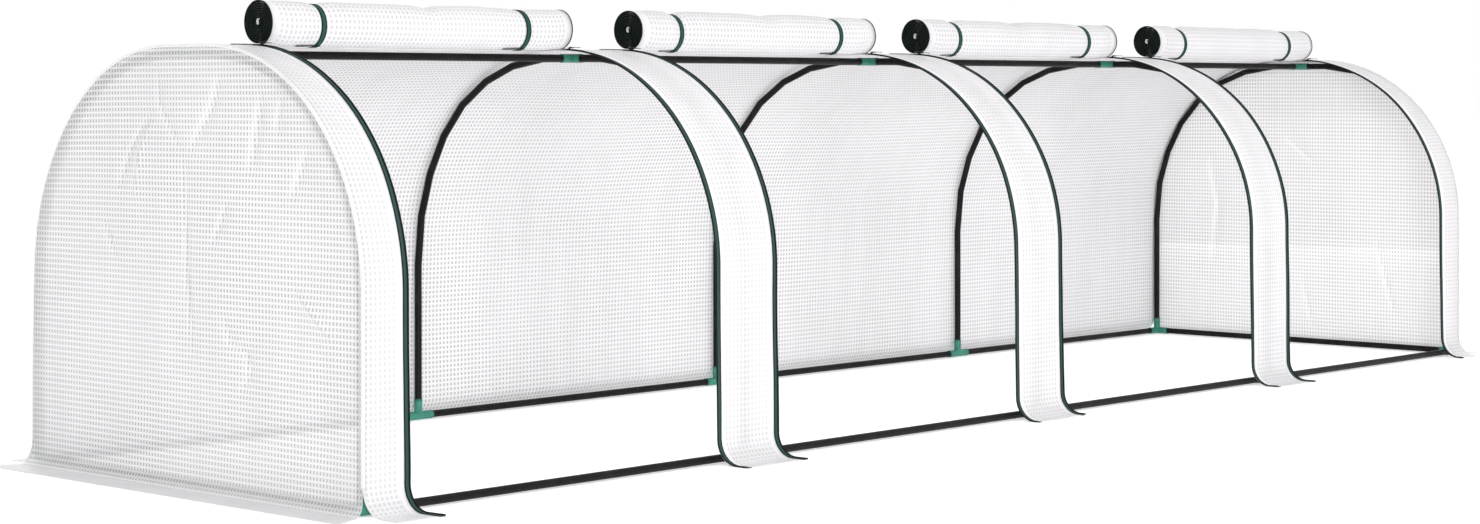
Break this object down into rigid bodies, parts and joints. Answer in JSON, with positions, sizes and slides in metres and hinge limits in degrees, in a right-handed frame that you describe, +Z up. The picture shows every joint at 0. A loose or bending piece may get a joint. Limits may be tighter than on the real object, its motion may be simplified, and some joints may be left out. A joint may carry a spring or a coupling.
{
  "type": "tunnel greenhouse",
  "caption": "Low tunnel greenhouse with a steel tube frame, a white reinforced film cover and roll-up zip doors along one side, for sheltering seedlings and bedding plants.",
  "frame": {"origin": "on the ground, under the middle of the tunnel, half way between the door side and the back", "axes": "+X along the tunnel, +Y from the door side to the back, +Z up"},
  "size_m": [4.1358, 1.1552, 0.906],
  "materials": {
    "tube": "black powder coat, satin",
    "fitting": "moulded, satin",
    "cover": "white film with a woven grid inside, slightly glossy",
    "zip": "moulded coil and woven tape",
    "strap": "woven webbing"
  },
  "bodies": {
    "tunnel": {"hoop_1_front": "tube", "hoop_1_back": "tube", "hoop_2_front": "tube", "hoop_2_back": "tube", "hoop_3_front": "tube", "hoop_3_back": "tube", "hoop_4_front": "tube", "hoop_4_back": "tube", "hoop_5_front": "tube", "hoop_5_back": "tube", "ridge_tube_1": "tube", "front_rail_1": "tube", "back_rail_1": "tube", "ridge_tube_2": "tube", "front_rail_2": "tube", "back_rail_2": "tube", "ridge_tube_3": "tube", "front_rail_3": "tube", "back_rail_3": "tube", "ridge_tube_4": "tube", "front_rail_4": "tube", "back_rail_4": "tube", "end_rail_left": "tube", "corner_fitting_front_left": "fitting", "corner_fitting_back_left": "fitting", "ridge_tee_left": "fitting", "end_panel_left": "cover", "end_rail_right": "tube", "corner_fitting_front_right": "fitting", "corner_fitting_back_right": "fitting", "ridge_tee_right": "fitting", "end_panel_right": "cover", "foot_tee_front_2": "fitting", "foot_tee_back_2": "fitting", "ridge_cross_2": "fitting", "foot_tee_front_3": "fitting", "foot_tee_back_3": "fitting", "ridge_cross_3": "fitting", "foot_tee_front_4": "fitting", "foot_tee_back_4": "fitting", "ridge_cross_4": "fitting", "cover_roof_and_back": "cover", "front_strip_1": "cover", "front_strip_2": "cover", "front_strip_3": "cover", "front_strip_4": "cover", "front_strip_5": "cover"},
    "door_1": {"door_roll_1": "cover"},
    "door_2": {"door_roll_2": "cover"},
    "door_3": {"door_roll_3": "cover"},
    "door_4": {"door_roll_4": "cover"},
    "slider_1_left": {"zip_slider_1_left": "zip"},
    "slider_1_right": {"zip_slider_1_right": "zip"},
    "slider_2_left": {"zip_slider_2_left": "zip"},
    "slider_2_right": {"zip_slider_2_right": "zip"},
    "slider_3_left": {"zip_slider_3_left": "zip"},
    "slider_3_right": {"zip_slider_3_right": "zip"},
    "slider_4_left": {"zip_slider_4_left": "zip"},
    "slider_4_right": {"zip_slider_4_right": "zip"}
  },
  "joints": [
    {"name": "door_1_roll_down", "type": "hinge", "parent": "tunnel", "child": "door_1", "pos_m": [-1.485, -0.065, 0.38633], "axis": [1, 0, 0], "range_deg": [0, 88]},
    {"name": "door_2_roll_down", "type": "hinge", "parent": "tunnel", "child": "door_2", "pos_m": [-0.495, -0.065, 0.38633], "axis": [1, 0, 0], "range_deg": [0, 88]},
    {"name": "door_3_roll_down", "type": "hinge", "parent": "tunnel", "child": "door_3", "pos_m": [0.495, -0.065, 0.38633], "axis": [1, 0, 0], "range_deg": [0, 88]},
    {"name": "door_4_roll_down", "type": "hinge", "parent": "tunnel", "child": "door_4", "pos_m": [1.485, -0.065, 0.38633], "axis": [1, 0, 0], "range_deg": [0, 88]},
    {"name": "zip_1_left_slide", "type": "hinge", "parent": "tunnel", "child": "slider_1_left", "pos_m": [-1.883, -0.065, 0.38633], "axis": [1, 0, 0], "range_deg": [0, 85]},
    {"name": "zip_1_right_slide", "type": "hinge", "parent": "tunnel", "child": "slider_1_right", "pos_m": [-1.08, -0.065, 0.38633], "axis": [1, 0, 0], "range_deg": [0, 85]},
    {"name": "zip_2_left_slide", "type": "hinge", "parent": "tunnel", "child": "slider_2_left", "pos_m": [-0.9, -0.065, 0.38633], "axis": [1, 0, 0], "range_deg": [0, 85]},
    {"name": "zip_2_right_slide", "type": "hinge", "parent": "tunnel", "child": "slider_2_right", "pos_m": [-0.09, -0.065, 0.38633], "axis": [1, 0, 0], "range_deg": [0, 85]},
    {"name": "zip_3_left_slide", "type": "hinge", "parent": "tunnel", "child": "slider_3_left", "pos_m": [0.09, -0.065, 0.38633], "axis": [1, 0, 0], "range_deg": [0, 85]},
    {"name": "zip_3_right_slide", "type": "hinge", "parent": "tunnel", "child": "slider_3_right", "pos_m": [0.9, -0.065, 0.38633], "axis": [1, 0, 0], "range_deg": [0, 85]},
    {"name": "zip_4_left_slide", "type": "hinge", "parent": "tunnel", "child": "slider_4_left", "pos_m": [1.08, -0.065, 0.38633], "axis": [1, 0, 0], "range_deg": [0, 85]},
    {"name": "zip_4_right_slide", "type": "hinge", "parent": "tunnel", "child": "slider_4_right", "pos_m": [1.883, -0.065, 0.38633], "axis": [1, 0, 0], "range_deg": [0, 85]}
  ]
}
